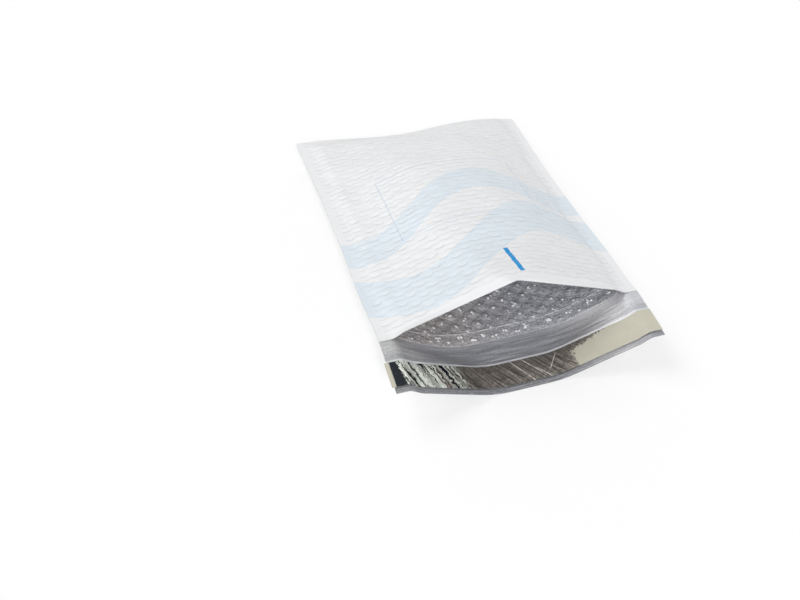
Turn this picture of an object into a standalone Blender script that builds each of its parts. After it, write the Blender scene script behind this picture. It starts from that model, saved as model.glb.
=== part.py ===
"""Padded envelope: a film bag lined with air-cushion film, lying on its lower panel with its mouth open.

Metres, +Z up. The width runs along X, the mouth and its flap face -Y and the closed end faces +Y.
Every sheet is drawn flat first, as u (across, 0 on the centre line) and v (0 at the mouth edge, growing
towards the closed end, negative on the flap), and is then laid on the shape of the opened bag.
"""
import math

import bmesh
import bpy
import numpy as np
from mathutils import Vector
from mathutils.geometry import delaunay_2d_cdt

# Flat sizes of the bag
WIDTH = 0.240
BODY = 0.300
FLAP = 0.050
SEAM = 0.009

# Walls
FILM = 0.0005
SEAM_THICKNESS = 2 * FILM
FOLD_THICKNESS = 0.0024
FOLD_WALL = 0.0020
LINING_SHEET = 0.0012
BUBBLE_HEIGHT = 0.0024
CLEARANCE = 0.0003
POCKET_SIDE_WALL = 0.008
POCKET_END_WALL = 0.010
LINING_LIP = 0.0045

# Bubble quilting: columns of bubbles run along the bag, each half a pitch on from the one beside it
PITCH = 0.0128
COLUMN = 0.0100
QUILT_RELIEF = 0.0012
BARE_MOUTH = 0.010
BARE_EDGE = 0.004
BARE_LIP = 0.001
LINING_ROWS = 8

# Closing strip on the flap
GREY_BAND = 0.022
LINER_WIDTH = 0.023
LINER_OVERHANG = 0.002
LINER_THICKNESS = 0.0003
LINER_CRINKLE = 0.0004
CRINKLE_SPACING = 0.015
ADHESIVE_WIDTH = 0.019
ADHESIVE_INSET = 0.004
ADHESIVE_THICKNESS = 0.0003

# Shape of the opened bag: heights of its side seams (left, right) and of the ridge of its upper panel
SEAM_HEIGHT_MOUTH = (0.0370, 0.0300)
SEAM_HEIGHT_END = (0.0185, 0.0025)
SEAM_HEIGHT_FLAP = (0.0330, 0.0285)
RIDGE_MOUTH = 0.0365
RIDGE_BODY = 0.0285
RIDGE_DROP_RUN = 0.060
RIDGE_ROUND_MOUTH = 0.0025
RIDGE_ROUND_BACK = (0.048, 0.080)
RIDGE_ROUND_RUN = 0.100
FLANK_EASE_MOUTH = 0.012
FLANK_EASE_BACK = (0.042, 0.020)
END_SWELL = 0.0035
END_DIP = 0.0045
DIP_SHARE = 0.62
DIP_SKEW = 1.8
BOWL_EASE = 0.012
EDGE_EASE = 0.014
BOWL_FLAT = 0.012
BOWL_ROUND_BODY = 0.075
BOWL_ROUND_FLAP = 0.035
FLOOR_RUN = 0.65
RIDGE_FULLNESS = 5
SEAM_FALL = 0.85
WAVE_FROM = 0.55
CRINKLE_SLANT = 0.6

HALF = WIDTH / 2
QUILT_HALF = HALF - SEAM
CAVITY_HALF = QUILT_HALF - EDGE_EASE / 4
LINING_HALF = QUILT_HALF - EDGE_EASE / 2
POCKET_HALF = LINING_HALF - POCKET_SIDE_WALL
LINING_END = BODY - FOLD_WALL - EDGE_EASE / 2
POCKET_END = LINING_END - POCKET_END_WALL
LINING_THICKNESS = LINING_SHEET + BUBBLE_HEIGHT
PACK = FILM + CLEARANCE + LINING_THICKNESS + CLEARANCE / 2

SLICES = 120
ACROSS = 24
ALONG = 13
SIDE_STEPS = 24
WELD = 0.000002


def smooth(t):
    """Eased step from 0 to 1."""
    t = np.clip(t, 0.0, 1.0)
    return t * t * (3.0 - 2.0 * t)


def blend(start, end, t):
    return start + (end - start) * t


def by_side(u, pair):
    """The first of a pair of values left of the centre line, the second right of it."""
    return np.where(u < 0.0, pair[0], pair[1])


def seam_plane(u, v):
    """Height of the middle of the bag's edge, carried across from seam to seam.

    Towards the closed end it dips over the left part of the width and swells over the rest.
    """
    back = np.clip(v / BODY, 0.0, 1.0) ** SEAM_FALL
    out = np.clip(-v / FLAP, 0.0, 1.0)
    sides = []
    for side in (0, 1):
        height = blend(SEAM_HEIGHT_MOUTH[side], SEAM_HEIGHT_END[side], back)
        sides.append(blend(height, SEAM_HEIGHT_FLAP[side], out))
    across = np.clip(0.5 + u / WIDTH, 0.0, 1.0)
    dip = np.sin(math.pi * np.minimum(across / DIP_SHARE, 1.0) ** DIP_SKEW)
    swell = np.sin(math.pi * np.clip((across - DIP_SHARE) / (1.0 - DIP_SHARE), 0.0, 1.0))
    wave = (END_SWELL * swell - END_DIP * dip) * smooth((v / BODY - WAVE_FROM) / (1.0 - WAVE_FROM))
    return blend(sides[0], sides[1], across) + wave


def pack_half(u, v):
    """Half thickness of the bag where it is pressed flat: thin at its seams, lining and film inside them."""
    side = smooth((QUILT_HALF - np.abs(u)) / EDGE_EASE)
    end = smooth((BODY - FOLD_WALL - v) / EDGE_EASE)
    edge = blend(SEAM_THICKNESS / 2, FOLD_THICKNESS / 2, side)
    return blend(edge, PACK, side * end)


def arch(u, v, flat, rounding, ease, height):
    """Section across the bag: share of its full height, 1 in the middle and 0 at the seams, and its place.

    The slope grows from nothing over rounding, beyond a flat middle, and dies away over ease at the seam.
    """
    s = np.linspace(0.0, HALF, SLICES)[None, :]
    slope = smooth((s - flat) / rounding[:, None]) * smooth((QUILT_HALF - s) / ease[:, None])
    step = HALF / (SLICES - 1)
    fall = np.cumsum((slope[:, 1:] + slope[:, :-1]) * step / 2, axis=1)
    fall = np.hstack([np.zeros((len(v), 1)), fall])
    total = fall[:, -1:]
    tilt = np.clip(height[:, None] * slope / total, 0.0, 0.95)
    level = np.sqrt(1.0 - tilt * tilt)
    run = np.cumsum((level[:, 1:] + level[:, :-1]) * step / 2, axis=1)
    run = np.hstack([np.zeros((len(v), 1)), run])
    place = np.minimum(np.abs(u), HALF) / step
    low = np.minimum(place.astype(int), SLICES - 2)
    part = place - low
    rows = np.arange(len(v))
    share = 1.0 - blend(fall[rows, low], fall[rows, low + 1], part) / total[:, 0]
    across = blend(run[rows, low], run[rows, low + 1], part)
    return share, across, run[:, -1]


def upper_arch(u, v):
    back = np.clip(v / BODY, 0.0, 1.0)
    height = blend(RIDGE_MOUTH, RIDGE_BODY, smooth(v / RIDGE_DROP_RUN)) * (1.0 - back ** RIDGE_FULLNESS)
    soft = np.sqrt(np.clip(v / RIDGE_ROUND_RUN, 0.0, 1.0))
    rounding = blend(RIDGE_ROUND_MOUTH, by_side(u, RIDGE_ROUND_BACK), soft)
    ease = blend(FLANK_EASE_MOUTH, by_side(u, FLANK_EASE_BACK), soft)
    share, across, reach = arch(u, v, 0.0, rounding, ease, height)
    return height * share, across, reach


def lay(u, v, upper, lift):
    """Places flat points on the upper or lower panel; lift is the distance out from the bare outer face."""
    u = np.asarray(u, float)
    v = np.asarray(v, float)
    rise, across, reach = upper_arch(u, v)
    beyond = np.maximum(np.abs(u) - HALF, 0.0)
    middle = seam_plane(u, v)
    half = pack_half(u, v)
    if upper:
        z = middle + half + rise + lift
    else:
        out = smooth(-v / GREY_BAND)
        rounding = blend(BOWL_ROUND_BODY, BOWL_ROUND_FLAP, out)
        depth = np.maximum(middle - half, 0.0)
        ease = np.full(len(v), BOWL_EASE)
        share, across, own_reach = arch(u, v, BOWL_FLAT, rounding, ease, depth)
        across = across * reach / own_reach
        share = share * (1.0 - smooth((v / BODY - FLOOR_RUN) / (1.0 - FLOOR_RUN)))
        floor = QUILT_RELIEF * smooth(v / BARE_MOUTH)
        z = floor + (middle - half - floor) * (1.0 - share) - lift
    x = np.sign(u) * (across + beyond)
    return np.stack([x, v, z], axis=1)


def spread(half, count):
    """Stations from -half to half, closer together towards the edges."""
    turn = 0.4 * math.pi
    return [half * math.sin(turn * (2 * i / count - 1)) / math.sin(turn) for i in range(count + 1)]


def along(start, end, count):
    """Stations from start to end, closer together at both ends."""
    return [blend(start, end, (1 - math.cos(math.pi * i / count)) / 2) for i in range(count + 1)]


def even(start, end, count):
    return [blend(start, end, i / count) for i in range(count + 1)]


def flat_key(u, v):
    """The same key for every copy of a flat point that two cells or sheets share."""
    return round(u, 7), round(v, 7)


def cell_rows(half, start, end):
    """Centres of the bubbles that fit inside an area, as (u, v)."""
    side = int((half - COLUMN * 2 / 3) / COLUMN)
    for column in range(-side, side + 1):
        first = start + PITCH / 2 + (PITCH / 2 if column % 2 else 0.0)
        count = int((end - PITCH / 2 - first) / PITCH) + 1
        for row in range(count):
            yield column * COLUMN, first + row * PITCH


def cell_points(half, start, end, height):
    """Flat points of the quilting with their lift: each bubble's top and the six low corners around it."""
    points = {}
    for u, v in cell_rows(half, start, end):
        for corner in range(6):
            angle = corner * math.pi / 3
            cu = u + COLUMN * 2 / 3 * math.cos(angle)
            cv = v + PITCH / math.sqrt(3) * math.sin(angle)
            points.setdefault(flat_key(cu, cv), 0.0)
        points[flat_key(u, v)] = height
    return [(u, v, lift) for (u, v), lift in points.items()]


def rows_of(us, vs, lift=0.0):
    return [(u, v, lift) for v in vs for u in us]


def add_sheet(bm, points, upper, depth=0.0):
    """Triangulates flat points and lays them on a panel, depth inside its outer face."""
    flat = {}
    for u, v, lift in points:
        flat.setdefault(flat_key(u, v), lift)
    keys = list(flat)
    result = delaunay_2d_cdt([Vector(key) for key in keys], [], [], 0, 1e-7)
    places, faces, sources = result[0], result[2], result[3]
    lifts = np.array([flat[keys[source[0]]] for source in sources])
    u = np.array([p.x for p in places])
    v = np.array([p.y for p in places])
    laid = lay(u, v, upper, lifts - depth)
    verts = [bm.verts.new(p) for p in laid]
    for face in faces:
        bm.faces.new([verts[i] for i in face])


def add_grid(bm, us, vs, upper, depth):
    """A plain sheet of triangles on a grid, with the same diagonals in each layer."""
    laid = lay(np.array([u for v in vs for u in us]), np.array([v for v in vs for u in us]), upper, -depth)
    verts = [bm.verts.new(p) for p in laid]
    wide = len(us)
    for row in range(len(vs) - 1):
        for col in range(wide - 1):
            a = row * wide + col
            bm.faces.new([verts[a], verts[a + 1], verts[a + wide + 1]])
            bm.faces.new([verts[a], verts[a + wide + 1], verts[a + wide]])


def line(us, vs, upper, depth=0.0):
    """Points along a flat line on a panel; one of us and vs may be a single value."""
    count = max(len(us), len(vs))
    us = list(us) * (count if len(us) == 1 else 1)
    vs = list(vs) * (count if len(vs) == 1 else 1)
    return lay(np.array(us), np.array(vs), upper, -depth)


def add_strip(bm, first, second):
    """Joins two lines of as many points with triangles."""
    a = [bm.verts.new(p) for p in first]
    b = [bm.verts.new(p) for p in second]
    for i in range(len(a) - 1):
        bm.faces.new([a[i], a[i + 1], b[i + 1]])
        bm.faces.new([a[i], b[i + 1], b[i]])


def finish(bm, name, material, smooth_angle):
    """Welds the sheets into one closed body, turns it outwards and puts it in the scene."""
    bmesh.ops.remove_doubles(bm, verts=bm.verts, dist=WELD)
    bmesh.ops.recalc_face_normals(bm, faces=bm.faces)
    mesh = bpy.data.meshes.new(name)
    bm.to_mesh(mesh)
    bm.free()
    mesh.shade_smooth()
    mesh.set_sharp_from_angle(angle=math.radians(smooth_angle))
    mesh.materials.append(material)
    obj = bpy.data.objects.new(name, mesh)
    bpy.context.scene.collection.objects.link(obj)
    return obj


def make_material(name, colour, roughness, metallic=0.0):
    material = bpy.data.materials.new(name)
    material.use_nodes = True
    shader = material.node_tree.nodes["Principled BSDF"]
    shader.inputs["Base Color"].default_value = (*colour, 1.0)
    shader.inputs["Roughness"].default_value = roughness
    shader.inputs["Metallic"].default_value = metallic
    return material


def lining_stations():
    return spread(LINING_HALF, ACROSS)


def cavity_stations():
    """Stations across the film's inner face: the lining's, so that the sheets nest, and its own edges."""
    return [-CAVITY_HALF] + lining_stations() + [CAVITY_HALF]


def seam_stations():
    """Stations across the mouth edge: those of the inner face, then the two seams."""
    return [-HALF, -QUILT_HALF] + cavity_stations() + [QUILT_HALF, HALF]


def lining_depths():
    return along(LINING_LIP, LINING_END, ALONG)


def outer_panel_points(sides, mouth):
    """Flat points of one outer panel: quilting inside plain borders at the seams, mouth and closed end."""
    quilt_end = BODY - FOLD_WALL - EDGE_EASE
    points = cell_points(QUILT_HALF - BARE_EDGE, BARE_MOUTH, quilt_end, QUILT_RELIEF)
    borders = [v for v in lining_depths() if v < BARE_MOUTH or v > quilt_end]
    points += rows_of(mouth, [0.0, BODY]) + rows_of(mouth[1:-1], borders + [BODY - FOLD_WALL])
    points += rows_of([-HALF, -QUILT_HALF, QUILT_HALF, HALF], sides)
    ease = [LINING_HALF, QUILT_HALF - EDGE_EASE]
    return points + rows_of(ease + [-u for u in ease], sides[1:-1])


def make_outer_film():
    """One web of film, folded at the closed end, sealed at both sides, its lower half ending in the flap."""
    bm = bmesh.new()
    inner = cavity_stations()
    mouth = seam_stations()
    sides = even(0.0, BODY, SIDE_STEPS)
    depths = [0.0] + lining_depths() + [BODY - FOLD_WALL]
    flap = even(-FLAP, 0.0, 5)
    add_sheet(bm, outer_panel_points(sides, mouth), True)
    add_sheet(bm, outer_panel_points(sides, mouth) + rows_of(mouth, flap), False)
    add_grid(bm, inner, depths, True, FILM)
    add_grid(bm, inner, depths, False, FILM)
    add_grid(bm, mouth, flap, False, FILM)
    for u in (-CAVITY_HALF, CAVITY_HALF):
        add_strip(bm, line([u], depths, True, FILM), line([u], depths, False, FILM))
    add_strip(bm, line(inner, [depths[-1]], True, FILM), line(inner, [depths[-1]], False, FILM))
    for u in (-HALF, HALF):
        weld_line = line([u], sides, False, FILM)
        add_strip(bm, line([u], sides, True), weld_line)
        add_strip(bm, weld_line, line([u], sides, False))
        add_strip(bm, line([u], flap, False), line([u], flap, False, FILM))
    add_strip(bm, line(mouth, [-FLAP], False), line(mouth, [-FLAP], False, FILM))
    add_strip(bm, line(inner, [0.0], True), line(inner, [0.0], True, FILM))
    add_closed_end(bm, mouth)
    for side in (-1, 1):
        add_seam_front(bm, side)
    return finish(bm, "outer_film", make_material("white_film", (0.88, 0.89, 0.90), 0.42), 50)


def add_closed_end(bm, mouth):
    """The rounded fold that joins the two panels at the closed end."""
    top = line(mouth, [BODY], True)
    bottom = line(mouth, [BODY], False)
    crest = (top + bottom) / 2
    crest[:, 1] += ((top - bottom)[:, 2] - SEAM_THICKNESS) / 2
    add_strip(bm, top, crest)
    add_strip(bm, crest, bottom)


def add_seam_front(bm, side):
    """The small front face of one side seam, between the upper panel's edge and the flap."""
    across = [side * u for u in (CAVITY_HALF, QUILT_HALF, HALF)]
    top = line(across, [0.0], True)
    bottom = line(across, [0.0], False, FILM)
    inside = line(across[:1], [0.0], True, FILM)[0]
    corner = [bm.verts.new(p) for p in (top[0], top[1], bottom[1], bottom[0], inside)]
    for i in range(1, 4):
        bm.faces.new([corner[0], corner[i], corner[i + 1]])
    add_strip(bm, top[1:], bottom[1:])


def lining_inside_points(pocket_us, sides, thickness):
    """Flat points of the lining's inner face: bubbles inside the mouth and plain sheet further in."""
    first = LINING_LIP + BARE_LIP
    quilted = first + LINING_ROWS * PITCH
    points = cell_points(POCKET_HALF, first, quilted, BUBBLE_HEIGHT / 2)
    points = [(u, v, thickness + (lift if lift else -BUBBLE_HEIGHT / 2)) for u, v, lift in points]
    deep = [v for v in along(quilted, POCKET_END, ALONG) if v > quilted + PITCH / 2]
    points += rows_of(pocket_us, [LINING_LIP], thickness) + rows_of(pocket_us[1:-1], deep, thickness)
    return points + rows_of([-POCKET_HALF, POCKET_HALF], sides, thickness)


def make_bubble_lining():
    """One folded web of air-cushion film, joined along its sides, bubbles facing into the pocket."""
    bm = bmesh.new()
    outside = lining_stations()
    pocket = spread(POCKET_HALF, ACROSS)
    skin = FILM + CLEARANCE
    plain = LINING_SHEET + BUBBLE_HEIGHT / 2
    depths = lining_depths()
    sides = even(LINING_LIP, POCKET_END, SIDE_STEPS)
    for upper in (True, False):
        add_grid(bm, outside, depths, upper, skin)
        points = [(u, v, -t) for u, v, t in lining_inside_points(pocket, sides, plain)]
        add_sheet(bm, points, upper, skin)
        lip = line(outside, [LINING_LIP], upper, skin), line(pocket, [LINING_LIP], upper, skin + plain)
        add_strip(bm, *lip)
    back = line(outside, [LINING_END], True, skin), line(outside, [LINING_END], False, skin)
    add_strip(bm, *back)
    front = skin + plain
    add_strip(bm, line(pocket, [POCKET_END], True, front), line(pocket, [POCKET_END], False, front))
    for side in (-1, 1):
        rim = side * LINING_HALF
        wall = side * POCKET_HALF
        add_strip(bm, line([rim], depths, True, skin), line([rim], depths, False, skin))
        add_strip(bm, line([wall], sides, True, front), line([wall], sides, False, front))
        add_strip(bm, rim_edge(rim, wall, True, skin, front), rim_edge(rim, wall, False, skin, front))
    return finish(bm, "bubble_lining", make_material("air_cushion_film", (0.30, 0.30, 0.32), 0.18), 60)


def rim_edge(rim, wall, upper, skin, front):
    """The lining's front edge at one side, from its outer corner to the corner of its pocket."""
    outer = line([rim], [LINING_LIP], upper, skin)
    inner = line([wall], [LINING_LIP], upper, front)
    return np.vstack([outer, inner])


def flap_stations(start, end, split):
    """The flap's own stations between start and end, each step between them cut into split parts."""
    inside = [u for u in seam_stations() if start + WELD < u < end - WELD]
    corners = [start] + inside + [end]
    stations = []
    for a, b in zip(corners, corners[1:]):
        stations += even(a, b, split)[:-1]
    return stations + [end]


def strip_points(us, vs, height, crinkle):
    """Points of a strip laid on the flap's own facets, height above its film, crinkled across its length."""
    stations = seam_stations()
    stations[0] -= LINER_OVERHANG
    rows = []
    for v in vs:
        film = line(stations, [v], False, FILM + height)
        row = np.array([[np.interp(u, stations, film[:, axis]) for axis in range(3)] for u in us])
        ripple = np.sin(2 * math.pi * (np.array(us) + CRINKLE_SLANT * v) / CRINKLE_SPACING)
        row[:, 2] += crinkle * (1.0 + ripple) / 2
        rows.append(row)
    return np.vstack(rows)


def make_flap_strip(name, us, vs, height, thickness, crinkle, material):
    """A thin strip stuck on the flap's inner face."""
    bm = bmesh.new()
    wide = len(us)
    layers = []
    for level in (height, height + thickness):
        layers.append([bm.verts.new(p) for p in strip_points(us, vs, level, crinkle)])
    for layer in layers:
        for row in range(len(vs) - 1):
            for col in range(wide - 1):
                a = row * wide + col
                bm.faces.new([layer[a], layer[a + 1], layer[a + wide + 1]])
                bm.faces.new([layer[a], layer[a + wide + 1], layer[a + wide]])
    last = (len(vs) - 1) * wide
    loop = list(range(wide)) + [wide * (r + 1) - 1 for r in range(1, len(vs))]
    loop += list(range(last + wide - 2, last - 1, -1)) + [wide * r for r in range(len(vs) - 2, 0, -1)]
    for a, b in zip(loop, loop[1:] + loop[:1]):
        bm.faces.new([layers[0][a], layers[0][b], layers[1][b], layers[1][a]])
    bmesh.ops.triangulate(bm, faces=bm.faces)
    return finish(bm, name, material, 40)


def make_adhesive_strip():
    middle = -GREY_BAND - LINER_WIDTH / 2
    vs = even(middle - ADHESIVE_WIDTH / 2, middle + ADHESIVE_WIDTH / 2, 2)
    us = flap_stations(-HALF + ADHESIVE_INSET, HALF - ADHESIVE_INSET, 1)
    material = make_material("adhesive", (0.55, 0.52, 0.42), 0.30)
    return make_flap_strip("adhesive_strip", us, vs, CLEARANCE, ADHESIVE_THICKNESS, 0.0, material)


def make_release_liner():
    vs = even(-GREY_BAND - LINER_WIDTH, -GREY_BAND, 3)
    us = flap_stations(-HALF - LINER_OVERHANG, HALF, 2)
    height = 2 * CLEARANCE + ADHESIVE_THICKNESS
    material = make_material("metallised_liner", (0.45, 0.42, 0.38), 0.22, 0.8)
    return make_flap_strip("release_liner", us, vs, height, LINER_THICKNESS, LINER_CRINKLE, material)


def centre_on_box(pieces):
    """Moves the pieces so that the origin lies below the middle of the whole, on its lowest level."""
    corners = [obj.matrix_world @ vert.co for obj in pieces for vert in obj.data.vertices]
    low = [min(c[i] for c in corners) for i in range(3)]
    high = [max(c[i] for c in corners) for i in range(3)]
    shift = Vector(((low[0] + high[0]) / 2, (low[1] + high[1]) / 2, low[2]))
    for obj in pieces:
        for vert in obj.data.vertices:
            vert.co -= shift


def main():
    for obj in list(bpy.data.objects):
        bpy.data.objects.remove(obj)
    pieces = [make_outer_film(), make_bubble_lining(), make_adhesive_strip(), make_release_liner()]
    centre_on_box(pieces)


if __name__ == "__main__":
    main()
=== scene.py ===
"""Padded envelope: its printed film, air-cushion lining and closing strip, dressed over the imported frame.

Every sheet is drawn flat, as u (across, 0 on the centre line) and v (0 at the mouth edge, growing towards
the closed end, negative on the flap), and is laid on the same shape as the frame's solids.
"""
import math

import bmesh
import bpy
import numpy as np
from bpy.props import FloatProperty, FloatVectorProperty, PointerProperty
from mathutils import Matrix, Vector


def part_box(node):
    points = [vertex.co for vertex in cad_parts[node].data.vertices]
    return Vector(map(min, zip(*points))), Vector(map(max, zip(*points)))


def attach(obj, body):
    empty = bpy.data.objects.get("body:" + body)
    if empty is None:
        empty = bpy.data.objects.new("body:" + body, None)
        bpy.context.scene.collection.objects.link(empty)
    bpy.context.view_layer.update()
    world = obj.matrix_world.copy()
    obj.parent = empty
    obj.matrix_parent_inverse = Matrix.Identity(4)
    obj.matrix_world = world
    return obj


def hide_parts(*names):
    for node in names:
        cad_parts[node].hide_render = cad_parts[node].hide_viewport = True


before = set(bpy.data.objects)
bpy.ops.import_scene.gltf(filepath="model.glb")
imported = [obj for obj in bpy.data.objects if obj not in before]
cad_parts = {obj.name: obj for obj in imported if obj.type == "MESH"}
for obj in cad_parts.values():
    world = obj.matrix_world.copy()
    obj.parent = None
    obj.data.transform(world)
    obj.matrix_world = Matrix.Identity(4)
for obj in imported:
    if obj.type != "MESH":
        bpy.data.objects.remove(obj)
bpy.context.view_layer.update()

bl_info = {
    "name": "Padded envelope",
    "version": (1, 0, 0),
    "blender": (4, 5, 0),
    "location": "3D View > Sidebar > Padded envelope",
    "description": "Makes a quilted film envelope with its lining, closing strip and studio",
    "category": "Object",
}

# Flat sizes of the bag, as in its solids
WIDTH = 0.240
BODY = 0.300
FLAP = 0.050
SEAM = 0.009
FILM = 0.0005
CLEARANCE = 0.0003
SEAM_THICKNESS = 2 * FILM
FOLD_THICKNESS = 0.0024
FOLD_WALL = 0.0020
LINING_SHEET = 0.0012
BUBBLE_HEIGHT = 0.0024
LINING_LIP = 0.0045
BARE_LIP = 0.001
PITCH = 0.0128
COLUMN = 0.0100
BARE_MOUTH = 0.010
GREY_BAND = 0.022
LINER_WIDTH = 0.023
LINER_OVERHANG = 0.002
ADHESIVE_THICKNESS = 0.0003

# Shape of the opened bag, as in its solids: (left, right) pairs are heights or runs at its two sides
SEAM_HEIGHT_MOUTH = (0.0370, 0.0300)
SEAM_HEIGHT_END = (0.0185, 0.0025)
SEAM_HEIGHT_FLAP = (0.0330, 0.0285)
SEAM_FALL = 0.85
END_SWELL = 0.0035
END_DIP = 0.0045
DIP_SHARE = 0.62
DIP_SKEW = 1.8
WAVE_FROM = 0.55
RIDGE_MOUTH = 0.0365
RIDGE_BODY = 0.0285
RIDGE_DROP_RUN = 0.060
RIDGE_ROUND_MOUTH = 0.0025
RIDGE_ROUND_BACK = (0.048, 0.080)
RIDGE_ROUND_RUN = 0.100
RIDGE_FULLNESS = 5
FLANK_EASE_MOUTH = 0.012
FLANK_EASE_BACK = (0.042, 0.020)
BOWL_EASE = 0.012
BOWL_FLAT = 0.012
BOWL_ROUND_BODY = 0.075
BOWL_ROUND_FLAP = 0.035
EDGE_EASE = 0.014
FLOOR_RUN = 0.65
FLOOR_LIFT = 0.0012

HALF = WIDTH / 2
QUILT_HALF = HALF - SEAM
LINING_HALF = QUILT_HALF - EDGE_EASE / 2
LINING_END = BODY - FOLD_WALL - EDGE_EASE / 2
WELD_CREASE = 0.0165
WELD_LINE = HALF - 0.0065
LINING_SKIN = FILM + CLEARANCE
PACK = LINING_SKIN + LINING_SHEET + BUBBLE_HEIGHT + CLEARANCE / 2
MOUTH_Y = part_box("outer_film")[0].y + FLAP
WEB = 2 * BODY + FLAP
SLICES = 120

# Relief that only the scene has
BORDER = 0.006
CREASE_BOW = 0.0012
CREASE_WIDTH = 0.0012
CREASES = 34
DENT = 0.0006
DENT_LENGTH = 0.060
LIP_RISE = 0.0008
LIP_FROM_LINER = 0.0022
WELD_RISE = 0.0007
WELD_WIDTH = 0.0007
THINNEST_LINING = 0.0005
LINER_THICKNESS = 0.0002
GLINTS = 7

# Rows and columns of the sheets' meshes
UPPER_ROWS = 400
FOLD_ROWS = 5
LOWER_ROWS = 200
FLAP_ROWS = 44
FILM_COLUMNS = 128
NEAR_DEPTH = 0.090
NEAR_ROWS = 100
FAR_ROWS = 50
LINING_COLUMNS = 216
LINER_ROWS = 16
LINER_COLUMNS = 300

# The materials work in millimetres: places across and along the web, and half sizes, of the print
MM = 1000
PRINT_SOFT = 0.1
WAVE_STRETCH = 34.0
ADDRESS_PLACE = (2.0, 149.0)
ADDRESS_HALF = (69.0, 45.5)
BAR_PLACE = (9.75, 30.5)
BAR_HALF = (2.0, 19.0)

# Studio: places that the lamps shine from, how wide they look in degrees, and the camera
FLOOR_SIZE = 12.0
SIDE_FROM, SIDE_SPREAD = (-0.60, 0.75, 1.0), 36.0
FRONT_FROM, FRONT_SPREAD = (-0.15, -1.2, 0.95), 14.0
LENS, SENSOR = 39.04, 36.0
CAMERA_PLACE = (-0.2236, -0.5612, 0.5583)
CAMERA_TURN = (43.54, 0.0, -16.30)


class EnvelopeFilm(bpy.types.PropertyGroup):
    """Relief and colours of the outer film."""

    pillow: FloatProperty(
        name="Quilting relief", description="Height of each bubble's pillow in the outer film",
        default=0.0008, min=0.0, max=0.0016, subtype="DISTANCE", unit="LENGTH")
    crease: FloatProperty(
        name="Crease depth", description="Depth of the long creases pressed into the film",
        default=0.0004, min=0.0, max=0.001, subtype="DISTANCE", unit="LENGTH")
    pucker: FloatProperty(
        name="Flap pucker", description="Height of the fine wrinkles along the grey flap",
        default=0.0006, min=0.0, max=0.0015, subtype="DISTANCE", unit="LENGTH")
    white: FloatVectorProperty(
        name="Film white", description="Outer colour of the film", subtype="COLOR",
        default=(0.785, 0.79, 0.80), min=0.0, max=1.0)
    grey: FloatVectorProperty(
        name="Film grey", description="Colour of the film's inner side", subtype="COLOR",
        default=(0.30, 0.305, 0.33), min=0.0, max=1.0)


class EnvelopePrint(bpy.types.PropertyGroup):
    """Places and colours of the print on the upper panel."""

    wave_blue: FloatVectorProperty(
        name="Wave blue", description="Pale blue of the broad waves", subtype="COLOR",
        default=(0.685, 0.75, 0.80), min=0.0, max=1.0)
    line_blue: FloatVectorProperty(
        name="Line blue", description="Blue of the address frame's thin outline", subtype="COLOR",
        default=(0.30, 0.46, 0.70), min=0.0, max=1.0)
    bar_blue: FloatVectorProperty(
        name="Bar blue", description="Blue of the short bar near the mouth", subtype="COLOR",
        default=(0.004, 0.27, 0.62), min=0.0, max=1.0)
    wave_width: FloatProperty(
        name="Wave width", description="Width of the wider wave, in millimetres",
        default=46.0, min=5.0, max=90.0)
    line_width: FloatProperty(
        name="Line width", description="Width of the address frame's outline, in millimetres",
        default=0.5, min=0.1, max=2.0)


class EnvelopeLining(bpy.types.PropertyGroup):
    """Bubbles of the air-cushion lining and the crinkles of the liner."""

    bubble_width: FloatProperty(
        name="Bubble width", description="Diameter of one air bubble",
        default=0.0092, min=0.004, max=0.012, subtype="DISTANCE", unit="LENGTH")
    bubble_rise: FloatProperty(
        name="Bubble rise", description="Height of the fullest air bubbles",
        default=0.0019, min=0.0, max=0.0024, subtype="DISTANCE", unit="LENGTH")
    tint: FloatVectorProperty(
        name="Lining tint", description="Colour seen through the clear air-cushion film", subtype="COLOR",
        default=(0.50, 0.505, 0.545), min=0.0, max=1.0)
    liner_beige: FloatVectorProperty(
        name="Liner beige", description="Matt part of the release liner", subtype="COLOR",
        default=(0.52, 0.50, 0.41), min=0.0, max=1.0)
    crinkle: FloatProperty(
        name="Liner crinkle", description="Height of the crinkles in the release liner",
        default=0.0005, min=0.0, max=0.0012, subtype="DISTANCE", unit="LENGTH")


class EnvelopeStage(bpy.types.PropertyGroup):
    """Light and floor."""

    floor_tone: FloatProperty(
        name="Floor tone", description="Paleness of the floor", default=0.95, min=0.0, max=1.0)
    floor_lift: FloatProperty(
        name="Floor lift", description="How far the floor is lifted to white where the camera sees it",
        default=0.42, min=0.0, max=1.0, subtype="FACTOR")
    sky: FloatProperty(
        name="Room light", description="Strength of the even light from all round",
        default=0.55, min=0.0, max=2.0)
    side: FloatProperty(
        name="Side light", description="Strength of the soft light from the left and behind", default=0.9,
        min=0.0, max=5.0)
    front: FloatProperty(
        name="Front light", description="Strength of the light that looks into the mouth", default=1.5,
        min=0.0, max=5.0)


def smooth(t):
    """Eased step from 0 to 1."""
    t = np.clip(t, 0.0, 1.0)
    return t * t * (3.0 - 2.0 * t)


def blend(start, end, t):
    """The value a share t of the way from start to end."""
    return start + (end - start) * t


def by_side(u, pair):
    """The first of a pair of values left of the centre line, the second right of it."""
    return np.where(u < 0.0, pair[0], pair[1])


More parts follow.
